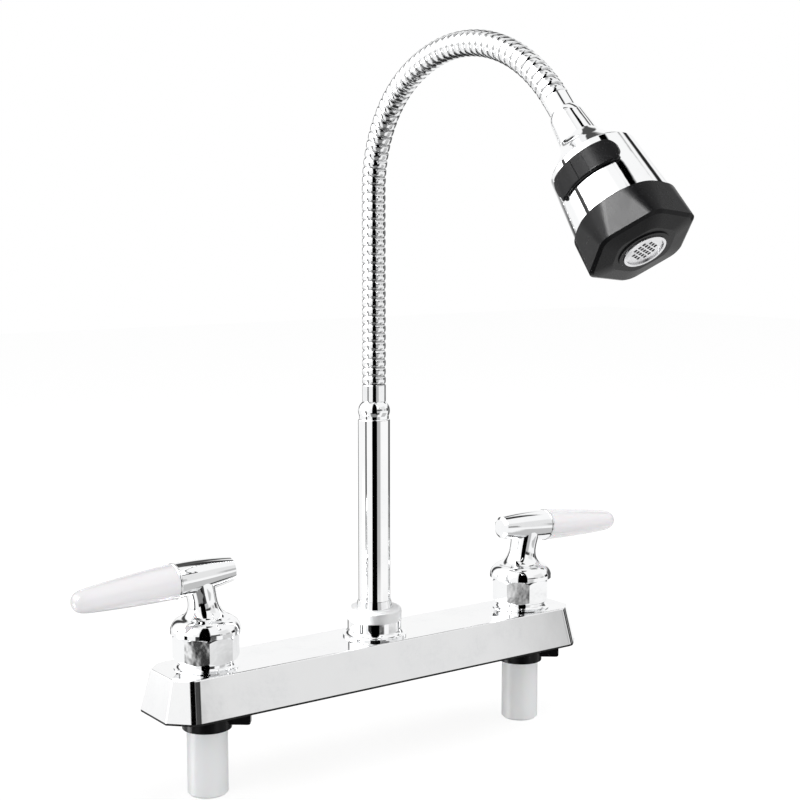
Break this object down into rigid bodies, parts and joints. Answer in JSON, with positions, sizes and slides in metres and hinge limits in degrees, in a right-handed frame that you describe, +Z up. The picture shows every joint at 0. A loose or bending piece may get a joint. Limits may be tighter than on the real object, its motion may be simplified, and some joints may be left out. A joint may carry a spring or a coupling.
{
  "type": "two handle kitchen faucet",
  "caption": "Deck mounted kitchen faucet: two lever handles on a long cover, a bendable ribbed gooseneck and a spray head with a rocker selector.",
  "frame": {"origin": "centre of the base gasket's underside, on the deck plane", "axes": "+Z up along the spout tube, +X along the deck cover from the left inlet to the right one, and the spout reaches toward -Y"},
  "size_m": [0.3436, 0.2365, 0.373],
  "materials": {
    "chrome": "polished chrome plate",
    "chrome_hose": "polished, ribbed",
    "white_grip": "glossy off-white",
    "white_moulding": "smooth white moulding",
    "black_plastic": "satin to glossy black",
    "black_rubber": "matt rubber",
    "grey_plastic": "moulded engineering plastic",
    "brass": "turned brass",
    "ceramic": "lapped ceramic",
    "steel": "stainless"
  },
  "bodies": {
    "faucet_body": {"deck_cover": "chrome", "base_gasket": "black_rubber", "left_valve_body": "white_moulding", "right_valve_body": "white_moulding", "center_hub": "white_moulding", "left_cross_tube": "brass", "right_cross_tube": "brass", "cross_tube_seals": "black_rubber", "left_collar": "chrome", "right_collar": "chrome", "left_bonnet_nut": "chrome", "right_bonnet_nut": "chrome", "left_cartridge": "grey_plastic", "right_cartridge": "grey_plastic", "left_fixed_disc": "ceramic", "right_fixed_disc": "ceramic", "seat_seals": "black_rubber", "left_wing_nut": "black_plastic", "right_wing_nut": "black_plastic", "spout_nut": "chrome", "spout_bush": "chrome"},
    "left_handle": {"left_stem": "brass", "left_moving_disc": "ceramic", "left_stem_seal": "black_rubber", "left_handle_hub": "chrome", "left_grip_ring": "chrome", "left_grip": "white_grip", "left_grip_stud": "steel", "left_end_plug": "chrome", "left_set_screw": "steel"},
    "right_handle": {"right_stem": "brass", "right_moving_disc": "ceramic", "right_stem_seal": "black_rubber", "right_handle_hub": "chrome", "right_grip_ring": "chrome", "right_grip": "white_grip", "right_grip_stud": "steel", "right_end_plug": "chrome", "right_set_screw": "steel"},
    "spout": {"spout_tube": "chrome", "spout_seals": "black_rubber", "spout_clip": "steel", "hose_ferrule": "chrome", "hose_segment_1": "chrome_hose"},
    "gooseneck_2": {"hose_segment_2": "chrome_hose"},
    "gooseneck_3": {"hose_segment_3": "chrome_hose"},
    "gooseneck_4": {"hose_segment_4": "chrome_hose"},
    "gooseneck_5": {"hose_segment_5": "chrome_hose"},
    "gooseneck_6": {"hose_segment_6": "chrome_hose", "upper_ferrule": "chrome", "head_seal": "black_rubber"},
    "spray_head": {"neck_cone": "chrome", "head_shell": "chrome", "head_core": "grey_plastic", "nozzle_ring": "black_plastic", "nozzle_gasket": "black_rubber", "aerator_housing": "steel", "aerator_screen": "steel"},
    "selector": {"selector_rocker": "black_plastic"},
    "diverter": {"diverter_spool": "grey_plastic"}
  },
  "joints": [
    {"name": "left_handle_turn", "type": "hinge", "parent": "faucet_body", "child": "left_handle", "pos_m": [-0.1016, 0, 0.045], "axis": [0, 0, 1], "range_deg": [0, 90]},
    {"name": "right_handle_turn", "type": "hinge", "parent": "faucet_body", "child": "right_handle", "pos_m": [0.1016, 0, 0.045], "axis": [0, 0, 1], "range_deg": [-90, 0]},
    {"name": "spout_swivel", "type": "hinge", "parent": "faucet_body", "child": "spout", "pos_m": [0, 0, 0.03], "axis": [0, 0, 1], "continuous": true},
    {"name": "gooseneck_bend_1", "type": "hinge", "parent": "spout", "child": "gooseneck_2", "pos_m": [0, 0, 0.19764], "axis": [1, 0, 0], "range_deg": [-12, 8]},
    {"name": "gooseneck_bend_2", "type": "hinge", "parent": "gooseneck_2", "child": "gooseneck_3", "pos_m": [0, 0, 0.24704], "axis": [1, 0, 0], "range_deg": [-12, 8]},
    {"name": "gooseneck_bend_3", "type": "hinge", "parent": "gooseneck_3", "child": "gooseneck_4", "pos_m": [0, -0.01252, 0.29376], "axis": [1, 0, 0], "range_deg": [-12, 8]},
    {"name": "gooseneck_bend_4", "type": "hinge", "parent": "gooseneck_4", "child": "gooseneck_5", "pos_m": [0, -0.05315, 0.32009], "axis": [1, 0, 0], "range_deg": [-12, 8]},
    {"name": "gooseneck_bend_5", "type": "hinge", "parent": "gooseneck_5", "child": "gooseneck_6", "pos_m": [0, -0.10186, 0.31866], "axis": [1, 0, 0], "range_deg": [-12, 8]},
    {"name": "head_swivel", "type": "hinge", "parent": "gooseneck_6", "child": "spray_head", "pos_m": [0, -0.14061, 0.29284], "axis": [0, -0.6521, -0.7581], "continuous": true},
    {"name": "selector_rock", "type": "hinge", "parent": "spray_head", "child": "selector", "pos_m": [-0.01583, -0.17986, 0.25827], "axis": [0.4147, -0.6899, 0.5934], "range_deg": [0, 10]},
    {"name": "diverter_slide", "type": "slide", "parent": "spray_head", "child": "diverter", "axis": [0, 0.6521, 0.7581], "range_m": [0, 0.0025]}
  ],
  "couplings": [
    {"joint": "gooseneck_bend_2", "follows": "gooseneck_bend_1", "ratio": 1},
    {"joint": "gooseneck_bend_3", "follows": "gooseneck_bend_1", "ratio": 1},
    {"joint": "gooseneck_bend_4", "follows": "gooseneck_bend_1", "ratio": 1},
    {"joint": "gooseneck_bend_5", "follows": "gooseneck_bend_1", "ratio": 1},
    {"joint": "diverter_slide", "follows": "selector_rock", "m_per_rad": 0.01266}
  ]
}
